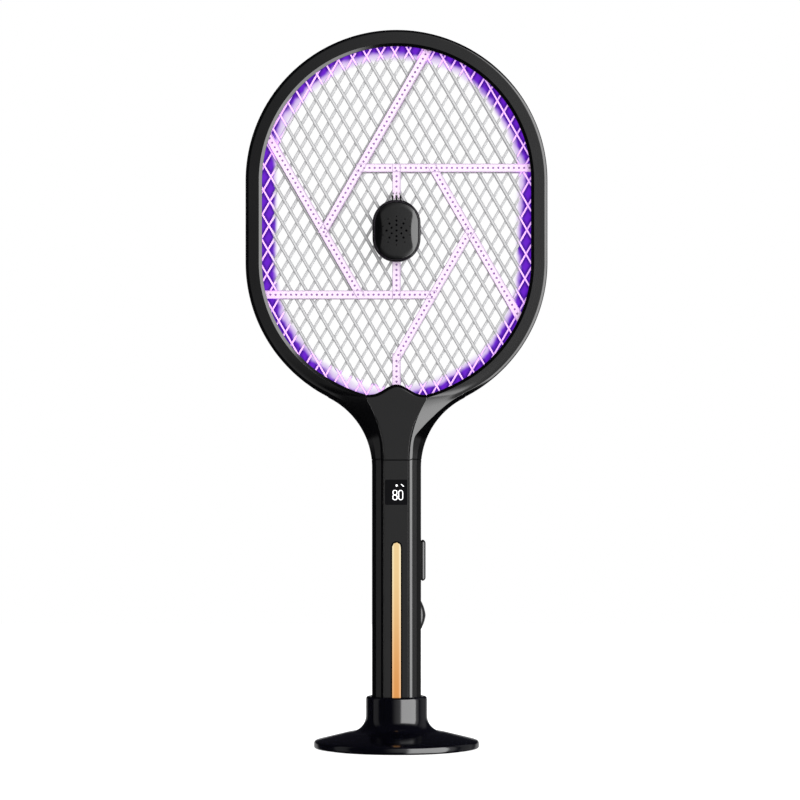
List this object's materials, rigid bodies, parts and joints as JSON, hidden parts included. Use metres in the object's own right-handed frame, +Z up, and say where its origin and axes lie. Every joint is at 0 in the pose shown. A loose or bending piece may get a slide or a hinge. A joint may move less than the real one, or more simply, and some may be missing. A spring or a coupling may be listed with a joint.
{
  "type": "electric fly swatter",
  "caption": "Racket-shaped electric insect zapper with an oval net head, lure pod and lit faceted handle, standing upright in a round charging dock.",
  "frame": {"origin": "centre of the dock's footprint on the surface it stands on", "axes": "+Z up along the handle, front with the display and the lure pod towards -Y, the button side towards +X"},
  "size_m": [0.2174, 0.12, 0.5168],
  "materials": {
    "shell_black": "satin-gloss moulded ABS",
    "dock_black": "gloss moulded ABS",
    "control_black": "fine matte",
    "pod_black": "fine matte",
    "rib_white": "smooth, slightly translucent",
    "net_metal": "satin",
    "glow_violet": "frosted light guide, lit violet",
    "white_board": "solder mask",
    "insulator": "plain",
    "green_board": "solder mask",
    "wire_red": "insulated wire",
    "steel": "zinc plated",
    "cell_sleeve": "sleeved cell",
    "winding": "taped winding",
    "capacitor": "dipped",
    "contact_brass": "plated",
    "window_black": "polished",
    "display_white": "plain",
    "light_warm": "frosted light guide, lit warm",
    "tablet": "porous",
    "foot_rubber": "matte"
  },
  "bodies": {
    "dock": {"dock_shell": "dock_black", "dock_base_plate": "dock_black", "dock_foot_ring": "foot_rubber", "ballast_weights": "steel", "dock_board": "green_board", "charge_inlet": "steel", "pin_barrels": "contact_brass", "pin_springs": "steel", "dock_screws": "steel"},
    "charge_pins": {"charge_pins": "contact_brass"},
    "racket": {"front_frame": "shell_black", "rear_frame": "shell_black", "front_ribs": "rib_white", "rear_ribs": "rib_white", "front_net": "net_metal", "rear_net": "net_metal", "hv_net": "net_metal", "uv_ring": "glow_violet", "uv_board": "white_board", "front_insulator": "insulator", "rear_insulator": "insulator", "hv_leads": "wire_red", "frame_screws": "steel", "pod_tray": "pod_black", "lure_tablet": "tablet", "pod_hinge_pin": "steel", "front_shell": "shell_black", "rear_shell": "shell_black", "end_cap": "control_black", "contact_plates": "contact_brass", "battery_cell": "cell_sleeve", "main_board": "green_board", "transformer": "winding", "hv_capacitor": "capacitor", "button_switch": "control_black", "slide_switch": "steel", "display_window": "window_black", "display_module": "display_white", "light_strip": "light_warm", "light_board": "white_board", "handle_screws": "steel"},
    "zap_button": {"zap_button": "control_black", "button_plunger": "display_white"},
    "mode_knob": {"mode_knob": "control_black"},
    "pod_lid": {"pod_lid": "pod_black"}
  },
  "joints": [
    {"name": "racket_lift", "type": "slide", "parent": "dock", "child": "racket", "axis": [0, 0, 1], "range_m": [0, 0.08]},
    {"name": "pin_press", "type": "slide", "parent": "dock", "child": "charge_pins", "axis": [0, 0, 1], "range_m": [-0.0012, 0], "stiffness_N_per_m": 250, "springref_m": 0.0008, "deforming": ["pin_springs"]},
    {"name": "button_press", "type": "slide", "parent": "racket", "child": "zap_button", "axis": [-1, 0, 0], "range_m": [0, 0.0012], "stiffness_N_per_m": 900, "springref_m": -0.0008},
    {"name": "knob_slide", "type": "slide", "parent": "racket", "child": "mode_knob", "axis": [0, 0, 1], "range_m": [-0.003, 0.003]},
    {"name": "pod_lid_hinge", "type": "hinge", "parent": "racket", "child": "pod_lid", "pos_m": [0, -0.01415, 0.39619], "axis": [-1, 0, 0], "range_deg": [0, 110]}
  ]
}
